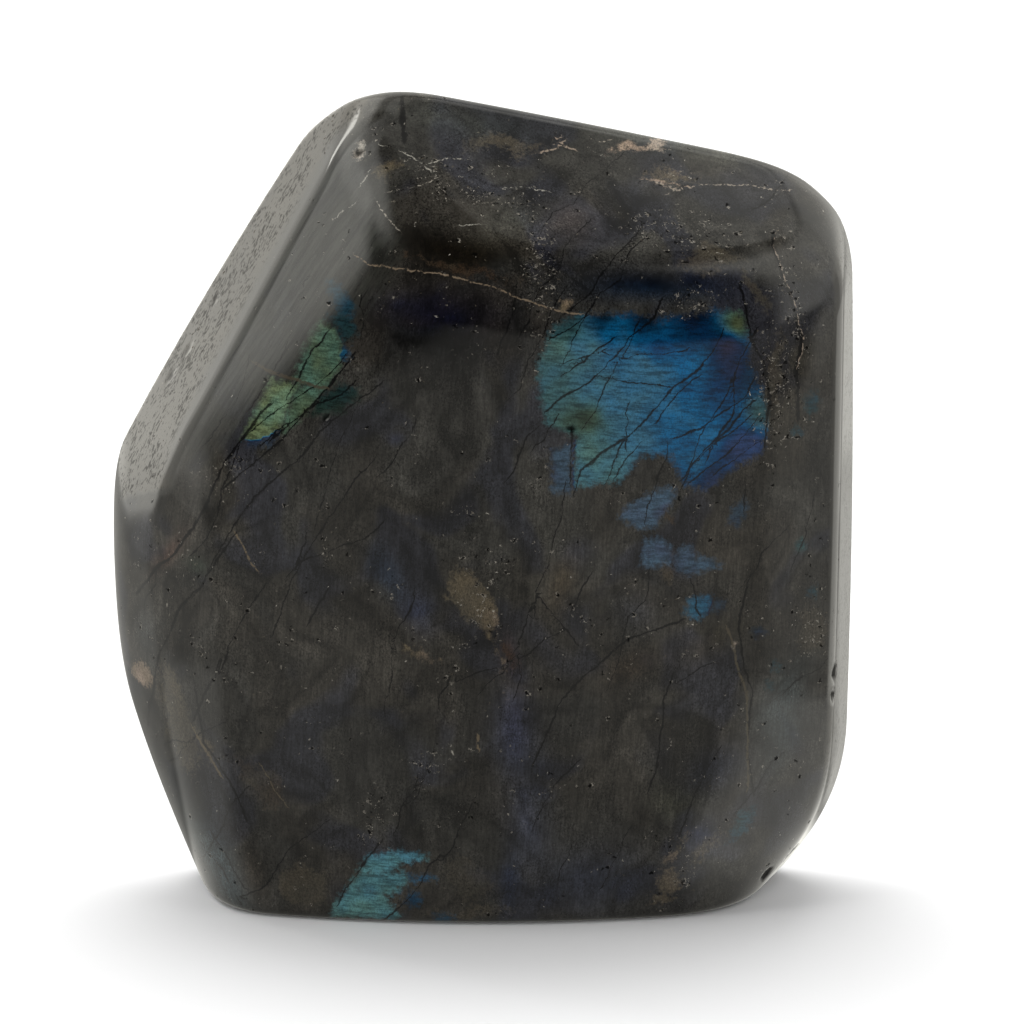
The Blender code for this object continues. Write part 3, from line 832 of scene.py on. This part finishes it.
def mark_stone(stone, settings):
    """Presses the gouges into the stone and keeps its marks on the mesh."""
    noise.seed_set(STRAY_SEED)
    places = vertex_places(stone.data)
    in_front = places[:, 1] < HEART_DEPTH + FRONT_REACH
    points = places[:, [0, 2]] / MM
    points = points + stray_at(places / MM, 0.15, 0.55) + stray_at(places / MM, 0.6, 0.18)
    marks = front_marks()
    depth = np.where(in_front, gouge_depth(points, marks.gouges), 0.0)
    ways = places - heart()
    ways /= np.linalg.norm(ways, axis=1)[:, None]
    finish = np.stack([*side_finish(places), smooth(depth, 0.05, 0.2)], axis=1)
    set_vertex_places(stone.data, places - ways * (depth * MM)[:, None])
    sides = ((in_front, marks), (~in_front, back_marks()))
    fields = [surface_fields(points[side], places[side] / MM, own, settings) for side, own in sides]
    for name in fields[0]:
        values = np.empty((len(places), 3))
        for (side, _), field in zip(sides, fields):
            values[side] = field[name]
        keep_on_mesh(stone.data, name, values)
    keep_on_mesh(stone.data, "finish", finish)


def side_finish(places):
    """Where the narrow side faces lie, ground to a satin, and where their outer parts are scored."""
    from_heart = places - heart()
    heights = {name: height_over_facet(from_heart, facet) for name, facet in FACETS.items()}
    satin = np.zeros(len(places))
    scored = np.zeros(len(places))
    for side, (bevel, strength) in SATIN_FACETS.items():
        rest = np.max([height for name, height in heights.items() if name != side], axis=0)
        own = smooth(heights[side] - rest, -0.0002, 0.0005)
        satin = np.maximum(satin, own)
        scored = np.maximum(scored, own * strength * smooth(-heights[bevel], 0.0020, 0.0042))
    return satin, scored


def painted_sheen_face(places):
    """Where the left bevel lies, which gets a painted sheen of long grey streaks in place of its reflections."""
    height = height_over_facet(places - heart(), FACETS["left_bevel"])
    return np.clip((height + 0.0020) / 0.0015, 0.0, 1.0)


class Wiring:
    """Short ways to add shader nodes to one tree and to join them."""

    def __init__(self, tree):
        self.tree = tree

    def node(self, kind, **settings):
        made = self.tree.nodes.new(kind)
        for name, value in settings.items():
            setattr(made, name, value)
        return made

    def feed(self, socket, value):
        if isinstance(value, bpy.types.NodeSocket):
            self.tree.links.new(value, socket)
        elif value is not None:
            socket.default_value = value

    def math(self, operation, *values, clamp=False):
        made = self.node("ShaderNodeMath", operation=operation, use_clamp=clamp)
        for socket, value in zip(made.inputs, values):
            self.feed(socket, value)
        return made.outputs[0]

    def vector(self, operation, *values):
        made = self.node("ShaderNodeVectorMath", operation=operation)
        for socket, value in zip(made.inputs, values):
            self.feed(socket, value)
        return made.outputs["Value" if operation == "LENGTH" else "Vector"]

    def scaled(self, vector, factor):
        made = self.node("ShaderNodeVectorMath", operation="SCALE")
        self.feed(made.inputs[0], vector)
        self.feed(made.inputs["Scale"], factor)
        return made.outputs[0]

    def parts(self, vector):
        made = self.node("ShaderNodeSeparateXYZ")
        self.feed(made.inputs[0], vector)
        return made.outputs

    def placed(self, vector, turn=(0.0, 0.0, 0.0), scale=(1.0, 1.0, 1.0)):
        """Turns a place, in degrees, and then stretches it."""
        made = self.node("ShaderNodeMapping")
        self.feed(made.inputs["Vector"], vector)
        made.inputs["Rotation"].default_value = tuple(math.radians(angle) for angle in turn)
        return self.vector("MULTIPLY", made.outputs[0], scale)

    def noise(self, place, scale, detail=2.0, roughness=0.5, colour=False):
        made = self.node("ShaderNodeTexNoise")
        self.feed(made.inputs["Vector"], place)
        made.inputs["Scale"].default_value = scale
        made.inputs["Detail"].default_value = detail
        made.inputs["Roughness"].default_value = roughness
        return made.outputs["Color" if colour else "Fac"]

    def cells(self, place, scale, feature="F1", output="Distance"):
        made = self.node("ShaderNodeTexVoronoi", feature=feature)
        self.feed(made.inputs["Vector"], place)
        made.inputs["Scale"].default_value = scale
        return made.outputs[output]

    def span(self, value, low, high, start=0.0, end=1.0):
        """Runs smoothly from start to end while the value goes from low to high."""
        made = self.node("ShaderNodeMapRange", interpolation_type="SMOOTHSTEP")
        for name, number in (("Value", value), ("From Min", low), ("From Max", high),
                             ("To Min", start), ("To Max", end)):
            self.feed(made.inputs[name], number)
        return made.outputs[0]

    def inside(self, value, start, end, soft):
        """One where the value lies between start and end, with soft borders."""
        return self.math("MULTIPLY", self.span(value, start - soft, start + soft),
                         self.span(value, end - soft, end + soft, 1.0, 0.0))

    def mix(self, amount, first, second, blend="MIX"):
        made = self.node("ShaderNodeMix", data_type="RGBA", blend_type=blend)
        self.feed(made.inputs["Factor"], amount)
        self.feed(made.inputs["A"], first)
        self.feed(made.inputs["B"], second)
        return made.outputs["Result"]

    def ramp(self, value, stops):
        made = self.node("ShaderNodeValToRGB")
        self.feed(made.inputs[0], value)
        elements = made.color_ramp.elements
        while len(elements) < len(stops):
            elements.new(0.5)
        for element, (place, colour) in zip(elements, sorted(stops.items())):
            element.position = place
            element.color = (*colour, 1.0)
        return made.outputs[0]

    def kept(self, name):
        """The numbers kept on the mesh under a name."""
        made = self.node("ShaderNodeAttribute", attribute_type="GEOMETRY", attribute_name=name)
        return made.outputs["Vector"]


def opaque(colour):
    return (*colour, 1.0)


def ground_look(w, place, grain, fine, painted_sheen_mask):
    """The dark feldspar: the kept tone, with grain in patches and steep thin streaks, and on the left bevel a painted
    sheen of long grey streaks in place of its reflections.
    """
    streaks = w.noise(w.placed(place, turn=(0.0, -4.0, 0.0), scale=(1.0, 1.0, 0.07)), 2.4, 3.0, 0.75)
    rough = w.span(w.noise(place, 0.17, 2.0, 0.6), 0.40, 0.62, 0.40, 1.0)
    grained = w.math("MULTIPLY_ADD", w.span(grain, 0.30, 0.70, -0.64, 0.80), rough, 1.0)
    light = w.math("MULTIPLY", w.span(streaks, 0.34, 0.66, 0.76, 1.26), grained)
    light = w.math("MULTIPLY", light, w.span(fine, 0.34, 0.68, 0.84, 1.18))
    # on the left bevel most of the feldspar gives way to a painted sheen: grey streaks, lighter and darker, drawn
    # along the bevel in place of its reflections
    drawn = w.noise(w.placed(place, turn=(0.0, -31.0, 0.0), scale=(1.0, 0.7, 0.05)), 1.0, 3.0, 0.7)
    haze = w.scaled((0.0285, 0.0295, 0.0245), w.span(drawn, 0.36, 0.66, 0.45, 1.65))
    return w.mix(w.math("MULTIPLY", painted_sheen_mask, 0.75), w.scaled(w.kept("ground"), light), haze)


def flash_look(w, place, base, fine, grain):
    """The play of colour, with ragged edges and fine stripes across it."""
    reach, hue, glow = w.parts(w.kept("flash"))
    inside = w.span(w.math("MULTIPLY_ADD", w.math("SUBTRACT", fine, 0.5), 3.8, reach), -0.8, 1.0)
    stripes = w.noise(w.placed(place, turn=(0.0, -4.0, 0.0), scale=(0.20, 0.3, 1.0)), 1.7, 3.0, 0.7)
    light = w.span(stripes, 0.34, 0.62, 0.50, 1.15)
    light = w.math("MULTIPLY", light, w.span(grain, 0.30, 0.60, 0.60, 1.15))
    light = w.math("MULTIPLY", light, w.math("MULTIPLY", glow, 0.66))
    return w.mix(inside, base, w.scaled(w.ramp(hue, HUES), light))


def line_mask(w, field, width, wander):
    """A thin ragged line where the signed distance in a field is near zero."""
    signed, plain, own = w.parts(field)
    near = w.span(plain, 0.45, 0.95, 1.0, 0.0)
    offset = w.math("ABSOLUTE", w.math("ADD", signed, wander))
    ratio = w.math("DIVIDE", offset, own if width is None else width)
    return w.math("MULTIPLY", w.span(ratio, 0.30, 0.95, 1.0, 0.0), near)


def crack_look(w, base, wander):
    """Dark cracks of their own widths."""
    first = line_mask(w, w.kept("cracks_first"), None, wander)
    second = line_mask(w, w.kept("cracks_second"), None, wander)
    dark = w.math("MAXIMUM", first, second)
    return w.mix(w.math("MULTIPLY", dark, 0.88), base, opaque((0.0015, 0.0015, 0.0018)))


def patch_look(w, base, fine, grain):
    """Crusty patches of tan, gold and rust mineral, the strong ones with crisp edges."""
    reach, hue, strength = w.parts(w.kept("patches"))
    rough = w.math("MULTIPLY_ADD", strength, -3.4, 6.0)
    ragged = w.math("MULTIPLY_ADD", w.math("SUBTRACT", fine, 0.5), rough, reach)
    inside = w.span(ragged, -0.3, w.math("MULTIPLY_ADD", strength, -1.2, 1.6))
    colour = w.scaled(w.ramp(hue, MINERALS), w.span(grain, 0.34, 0.66, 0.50, 1.4))
    return w.mix(w.math("MULTIPLY", inside, w.math("MULTIPLY", strength, 0.95)), base, colour)


def vein_look(w, base, width, wander, fine):
    """Thin broken veins of pale and golden mineral."""
    field = w.kept("veins")
    level = w.math("MULTIPLY_ADD", w.parts(field)[2], 0.17, 0.29)
    broken = w.span(w.math("SUBTRACT", fine, level), 0.0, 0.09)
    inside = w.math("MULTIPLY", line_mask(w, field, width, wander), broken)
    return w.mix(w.math("MULTIPLY", inside, 0.8), base, w.ramp(w.parts(field)[2], MINERALS))


def specks(w, place, finer, chance, smallest, largest):
    """How near each point is to a speck, in the share of cells that the chance gives, and a tone."""
    cell = w.node("ShaderNodeTexVoronoi", feature="F1")
    w.feed(cell.inputs["Vector"], place)
    cell.inputs["Scale"].default_value = finer
    lot, size, tone = w.parts(cell.outputs["Color"])
    radius = w.math("MULTIPLY_ADD", size, largest - smallest, smallest)
    return w.math("LESS_THAN", lot, chance), w.math("DIVIDE", cell.outputs["Distance"], radius), tone


def fleck_look(w, place, base, crowding, wander, fine):
    """Small pits painted black as the shade inside them, with broken pale rims painted as a glint on their edges, and
    paler flecks among them, crowded in the clusters.
    """
    ragged = w.vector("ADD", w.placed(place, scale=(0.8, 1.0, 1.0)), w.scaled(wander, 1.9))
    drawn, nearness, _ = specks(w, ragged, 1.15, crowding, 0.12, 0.46)
    pit = w.math("MULTIPLY", drawn, w.span(nearness, 0.6, 1.0, 1.0, 0.0))
    rim = w.math("MULTIPLY", w.math("MULTIPLY", drawn, w.inside(nearness, 0.95, 1.3, 0.12)), w.span(fine, 0.52, 0.60))
    drawn, nearness, tone = specks(w, ragged, 2.3, w.math("MULTIPLY", crowding, 0.55), 0.08, 0.40)
    fleck = w.math("MULTIPLY", drawn, w.span(nearness, 0.5, 1.1, 1.0, 0.0))
    # the pits are painted near black as the shade inside them, and their broken pale rims are a painted glint on the
    # pit edges
    base = w.mix(w.math("MULTIPLY", pit, 0.92), base, opaque((0.0012, 0.0012, 0.0012)))
    base = w.mix(w.math("MULTIPLY", rim, 0.85), base, opaque((0.34, 0.31, 0.26)))
    colour = w.mix(w.math("POWER", tone, 1.8), opaque((0.08, 0.066, 0.044)), opaque((0.60, 0.56, 0.48)))
    return w.mix(w.math("MULTIPLY", fleck, 0.85), base, colour), pit


def satin_look(w, place, base, satin, scored, fine):
    """The paler narrow side faces, whose outer parts are scored by many short fine pits, painted dark as the shade
    inside them.
    """
    along = w.placed(place, turn=(0.0, -31.0, 0.0), scale=(1.0, 0.4, 0.4))
    crowd = w.span(w.noise(along, 0.5, 2.0, 0.6), 0.36, 0.60)
    dashes = w.noise(w.placed(place, turn=(0.0, -24.0, 0.0), scale=(1.0, 0.45, 0.26)), 3.7, 2.0, 0.6)
    score = w.span(w.math("MULTIPLY_ADD", crowd, 0.12, dashes), 0.62, 0.68)
    score = w.math("MULTIPLY", score, scored)
    warm = w.mix(fine, opaque((0.066, 0.056, 0.040)), opaque((0.086, 0.077, 0.060)))
    tone = w.mix(scored, opaque((0.055, 0.053, 0.046)), warm)
    base = w.mix(w.math("MULTIPLY", satin, 0.7), base, tone)
    # the scores are painted dark, as the shade inside the short pits
    return w.mix(w.math("MULTIPLY", score, 0.80), base, opaque((0.018, 0.016, 0.013))), score


def stone_material(settings):
    material = bpy.data.materials.new("labradorite_under_gloss")
    material.use_nodes = True
    w = Wiring(material.node_tree)
    shader = material.node_tree.nodes["Principled BSDF"]
    place = w.scaled(w.node("ShaderNodeTexCoord").outputs["Object"], 1.0 / MM)
    # the last number of the spread is where the painted sheen of the left bevel lies
    crowding, vein_width, painted_sheen_mask = w.parts(w.kept("spread"))
    satin, scored, gouged = w.parts(w.kept("finish"))
    wander = w.noise(place, 1.1, 4.0, 0.7, colour=True)
    coarse, fine, third = w.parts(wander)
    line_wander = w.math("MULTIPLY", w.math("SUBTRACT", third, 0.5), 0.9)
    grain = w.noise(w.placed(place, scale=(1.0, 1.0, 0.7)), 3.4, 3.0, 0.80)
    base = ground_look(w, place, grain, coarse, painted_sheen_mask)
    base = flash_look(w, place, base, fine, grain)
    base = patch_look(w, base, coarse, grain)
    base = crack_look(w, base, line_wander)
    base = vein_look(w, base, vein_width, line_wander, fine)
    base, pit = fleck_look(w, place, base, crowding, wander, fine)
    base, score = satin_look(w, place, base, satin, scored, fine)
    # the gouges are painted near black, as the shade inside the hollows pressed into the mesh
    base = w.mix(w.math("MULTIPLY", gouged, 0.85), base, opaque((0.003, 0.003, 0.003)))
    w.feed(shader.inputs["Base Color"], base)
    shader.inputs["Specular IOR Level"].default_value = 0.0
    shader.inputs["Roughness"].default_value = 0.6
    dull = w.math("MAXIMUM", w.math("MAXIMUM", pit, w.math("MULTIPLY", score, 0.62)), gouged)
    w.feed(shader.inputs["Coat Weight"], w.math("MULTIPLY_ADD", dull, -0.85, 1.0))
    shader.inputs["Coat Roughness"].default_value = settings.polish
    shader.inputs["Coat IOR"].default_value = 1.56
    return material


def floor_material(settings):
    """A plain pale floor, which shows the stone's gloss its pools of light in place of itself."""
    material = bpy.data.materials.new("pale_floor")
    material.use_nodes = True
    w = Wiring(material.node_tree)
    shader = material.node_tree.nodes["Principled BSDF"]
    place = w.node("ShaderNodeTexCoord").outputs["Object"]
    across, depth, _ = w.parts(place)
    turn = w.math("DEGREES", w.math("ARCTAN2", across, w.math("MULTIPLY", depth, -1.0)))
    away = w.vector("LENGTH", place)
    mirrored = 0.0
    for pool in POOLS.values():
        inside = w.math("MULTIPLY", w.inside(turn, pool.turn_from, pool.turn_to, pool.soft),
                        w.inside(away, pool.near, pool.far, pool.fade))
        change = w.math("SUBTRACT", pool.light, mirrored)
        mirrored = w.math("MULTIPLY_ADD", inside, change, mirrored)
    ray = w.node("ShaderNodeLightPath").outputs
    scattered = w.math("MULTIPLY", ray["Is Diffuse Ray"], settings.floor_scattered)
    w.feed(shader.inputs["Base Color"], w.math("MULTIPLY_ADD", ray["Is Camera Ray"], settings.floor_seen, scattered))
    w.feed(shader.inputs["Emission Color"],
           w.scaled(GLOSS_LIGHT, w.math("MULTIPLY", ray["Is Glossy Ray"], mirrored)))
    shader.inputs["Emission Strength"].default_value = 1.0
    shader.inputs["Roughness"].default_value = 1.0
    shader.inputs["Specular IOR Level"].default_value = 0.0
    return material


# the tint of the studio light and of the floor in the stone's gloss
GLOSS_LIGHT = (1.0, 0.985, 0.915)

# A panel of light fills the directions between two turns and two rises, in degrees, and fades out
# over its soft edge. Turn 0 is in front of the stone and 90 on the observer's right.
Panel = namedtuple("Panel", "turn_from turn_to rise_from rise_to soft light")
PANELS = {
    "low_front": Panel(-62, 58, -90, 13, 3, 0.23),
    "left_wall": Panel(-200, -64, -90, 68, 5, 0.75),
    "right_wall": Panel(62, 200, -90, 64, 4, 0.85),
    "left_softbox": Panel(-100, -59, 25, 62, 4, 1.34),
    "left_low_softbox": Panel(-92, -59, 5, 25, 4, 0.58),
    "left_low_back": Panel(-169, -119, -90, 9, 3, 0.48),
    "left_high_softbox": Panel(-104, -47, 44, 78, 6, 0.95),
    "left_corner_light": Panel(-62, -42, 48, 72, 4, 0.70),
    "right_softbox": Panel(49, 62, 14, 64, 4, 1.22),
    "right_upper_wall": Panel(62, 100, 24, 67, 4, 0.35),
    "right_side_wall": Panel(100, 146, -2, 80, 5, 0.60),
    "left_back_wall": Panel(-200, -122, -90, 90, 5, 0.48),
    "right_back_wall": Panel(128, 200, -90, 90, 8, 0.30),
    "left_high_light": Panel(-150, -104, 38, 66, 6, 1.00),
    "left_window": Panel(-131, -125, 22, 46, 1, 5.0),
    "ceiling": Panel(62, 200, 73.4, 100, 1.2, 0.22),
    "front_ceiling": Panel(-200, 62, 78.5, 100, 1.5, 0.30),
    "right_ceiling": Panel(77, 130, 66, 74, 2, 1.00),
}

# The stone's gloss sees pools of light on the floor, each between two turns and two distances, in
# metres, from the middle of the base; a later pool covers the ones before it.
Pool = namedtuple("Pool", "turn_from turn_to near far soft fade light")
POOLS = {
    "front": Pool(-200, 200, -1.0, 20.0, 1, 0.10, 0.24),
    "front_left": Pool(-62, -20, 0.08, 20.0, 8, 0.03, 0.36),
    "front_far_right": Pool(12, 62, 0.10, 20.0, 6, 0.04, 0.33),
    "right_front": Pool(50, 84, 0.17, 20.0, 4, 0.03, 0.58),
    "right_far": Pool(84, 134, 0.18, 20.0, 5, 0.03, 2.10),
    "right_near": Pool(50, 118, 0.054, 0.185, 6, 0.014, 1.30),
    "right_behind": Pool(124, 200, -1.0, 0.40, 4, 0.05, 0.62),
    "right_far_behind": Pool(134, 200, 0.40, 20.0, 4, 0.05, 0.76),
    "left_near": Pool(-104, -62, 0.050, 0.20, 5, 0.012, 0.92),
    "left_far": Pool(-106, -60, 0.20, 20.0, 5, 0.03, 0.55),
    "left_behind": Pool(-200, -106, -1.0, 0.15, 5, 0.04, 0.31),
    "left_far_behind": Pool(-200, -106, 0.15, 20.0, 5, 0.04, 0.56),
    "left_wall_foot": Pool(-200, -116, 1.00, 20.0, 5, 0.50, 1.55),
    "behind_left": Pool(-200, -172, -1.0, 20.0, 5, 0.05, 0.60),
    "behind_right": Pool(172, 200, -1.0, 20.0, 5, 0.05, 0.60),
    "under_right": Pool(-5, 66, -1.0, 0.044, 6, 0.012, 0.22),
}


def studio_world(settings):
    """White walls beside and behind the stone, dark in front of it, with soft lights at both sides."""
    world = bpy.data.worlds.new("soft_studio")
    world.use_nodes = True
    w = Wiring(world.node_tree)
    background = world.node_tree.nodes["Background"]
    x, y, z = w.parts(w.node("ShaderNodeTexCoord").outputs["Generated"])
    turn = w.math("DEGREES", w.math("ARCTAN2", x, w.math("MULTIPLY", y, -1.0)))
    rise = w.math("DEGREES", w.math("ARCSINE", z))
    light = settings.front_light
    for panel in PANELS.values():
        inside = w.math("MULTIPLY", w.inside(turn, panel.turn_from, panel.turn_to, panel.soft),
                        w.inside(rise, panel.rise_from, panel.rise_to, panel.soft))
        light = w.math("MULTIPLY_ADD", inside, panel.light, light)
    ray = w.node("ShaderNodeLightPath").outputs
    light = w.math("MAXIMUM", light, ray["Is Camera Ray"])
    w.feed(background.inputs["Strength"], light)
    tint = w.mix(ray["Is Glossy Ray"], opaque((1.0, 1.0, 1.0)), opaque(GLOSS_LIGHT))
    w.feed(background.inputs["Color"], tint)
    bpy.context.scene.world = world


def add_light(name, place, size, power):
    """A round soft light that looks at the stone and isn't seen in its gloss."""
    clear_selection()
    bpy.ops.object.light_add(type="AREA", location=place)
    lamp = bpy.context.object
    lamp.name = name
    lamp.rotation_euler = (-lamp.location).to_track_quat("-Z", "Y").to_euler()
    lamp.data.shape = "DISK"
    lamp.data.size = size
    lamp.data.energy = power
    lamp.visible_glossy = False


def add_floor(settings):
    clear_selection()
    bpy.ops.mesh.primitive_plane_add(size=settings.floor_size, location=(0.0, 0.0, 0.0))
    floor = bpy.context.object
    floor.name = "pale_floor"
    floor.data.materials.append(floor_material(settings))


def add_camera(settings):
    clear_selection()
    aim = Vector((settings.aim_right, HEART_DEPTH, settings.aim_height))
    rise = settings.camera_rise
    back = Vector((0.0, -math.cos(rise), math.sin(rise))) * settings.camera_distance
    bpy.ops.object.camera_add(location=aim + back, rotation=(math.pi / 2.0 - rise, 0.0, 0.0))
    camera = bpy.context.object
    camera.name = "studio_camera"
    camera.data.sensor_width = 36.0
    camera.data.lens = camera.data.sensor_width * settings.camera_distance / settings.seen_width
    bpy.context.scene.camera = camera


class StoneSettings(bpy.types.PropertyGroup):
    slate: bpy.props.FloatVectorProperty(
        name="Slate", description="The grey of the feldspar", subtype="COLOR", size=3, min=0.0, max=1.0,
        default=(0.0300, 0.0285, 0.0245))
    umber: bpy.props.FloatVectorProperty(
        name="Umber", description="The brown tinge in the feldspar", subtype="COLOR", size=3, min=0.0,
        max=1.0, default=(0.0338, 0.0306, 0.0250))
    navy: bpy.props.FloatVectorProperty(
        name="Navy", description="The blue-black depth in the feldspar", subtype="COLOR", size=3, min=0.0,
        max=1.0, default=(0.0190, 0.0200, 0.0265))
    polish: bpy.props.FloatProperty(
        name="Polish", description="The roughness of the polished faces", default=0.07, min=0.0, max=1.0,
        subtype="FACTOR")


class StageSettings(bpy.types.PropertyGroup):
    floor_size: bpy.props.FloatProperty(
        name="Floor size", description="The side of the square floor", default=12.0, min=1.0, unit="LENGTH")
    floor_seen: bpy.props.FloatProperty(
        name="Floor seen", description="How pale the floor is in the picture", default=0.84, min=0.0,
        max=1.0, subtype="FACTOR")
    floor_scattered: bpy.props.FloatProperty(
        name="Floor scattered", description="How pale the floor is for the light it scatters upwards",
        default=0.30, min=0.0, max=1.0, subtype="FACTOR")
    front_light: bpy.props.FloatProperty(
        name="Front light", description="The brightness in front of the stone", default=0.03, min=0.0)
    overhead_power: bpy.props.FloatProperty(
        name="Overhead power", description="The power of the light overhead", default=20.0, min=0.0,
        unit="POWER")
    fill_power: bpy.props.FloatProperty(
        name="Fill power", description="The power of the soft light in front", default=9.0, min=0.0,
        unit="POWER")
    camera_distance: bpy.props.FloatProperty(
        name="Camera distance", description="From the camera to the point it looks at", default=0.82,
        min=0.2, unit="LENGTH")
    camera_rise: bpy.props.FloatProperty(
        name="Camera rise", description="How far the camera looks down", default=math.radians(12.0),
        subtype="ANGLE")
    aim_right: bpy.props.FloatProperty(
        name="Aim right", description="How far right of the middle the camera looks", default=0.0051,
        unit="LENGTH")
    aim_height: bpy.props.FloatProperty(
        name="Aim height", description="How far above the floor the camera looks", default=0.069,
        unit="LENGTH")
    seen_width: bpy.props.FloatProperty(
        name="Seen width", description="The width that fills the picture", default=0.1797, min=0.01,
        unit="LENGTH")


class STONE_OT_make_freeform(bpy.types.Operator):
    """Grinds, marks and polishes the labradorite freeform"""
    bl_idname = "stone.make_freeform"
    bl_label = "Make the freeform"

    def execute(self, context):
        stone = add_ball()
        stone.name = "labradorite_stone"
        grind(stone)
        mark_stone(stone, context.scene.stone_settings)
        clear_selection()
        stone.select_set(True)
        bpy.ops.object.shade_smooth()
        stone.data.materials.append(stone_material(context.scene.stone_settings))
        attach(stone, "root")
        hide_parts(NODE)
        return {"FINISHED"}


class STONE_OT_make_stage(bpy.types.Operator):
    """Sets up the pale floor, the soft light and the camera"""
    bl_idname = "stone.make_stage"
    bl_label = "Make the stage"

    def execute(self, context):
        settings = context.scene.stage_settings
        add_floor(settings)
        studio_world(settings)
        add_light("overhead_light", (0.0, 0.9, 1.6), 1.4, settings.overhead_power)
        add_light("front_fill", (0.0, -1.6, 0.55), 1.2, settings.fill_power)
        add_camera(settings)
        context.scene.view_settings.view_transform = "Standard"
        return {"FINISHED"}


class STONE_PT_sidebar(bpy.types.Panel):
    """Lists the stone's operators and settings"""
    bl_label = "Labradorite Freeform"
    bl_idname = "STONE_PT_sidebar"
    bl_space_type = "VIEW_3D"
    bl_region_type = "UI"
    bl_category = "Stone"

    def draw(self, context):
        layout = self.layout
        for operator in OPERATORS:
            layout.operator(operator.bl_idname)
        for settings in (context.scene.stone_settings, context.scene.stage_settings):
            column = layout.column()
            for name in settings.__annotations__:
                column.prop(settings, name)


OPERATORS = (STONE_OT_make_freeform, STONE_OT_make_stage)
CLASSES = (StoneSettings, StageSettings) + OPERATORS + (STONE_PT_sidebar,)


def register():
    for item in CLASSES:
        bpy.utils.register_class(item)
    bpy.types.Scene.stone_settings = bpy.props.PointerProperty(type=StoneSettings)
    bpy.types.Scene.stage_settings = bpy.props.PointerProperty(type=StageSettings)


def unregister():
    del bpy.types.Scene.stage_settings
    del bpy.types.Scene.stone_settings
    for item in reversed(CLASSES):
        bpy.utils.unregister_class(item)


def main():
    register()
    bpy.ops.stone.make_freeform()
    bpy.ops.stone.make_stage()


if __name__ == "__main__":
    main()
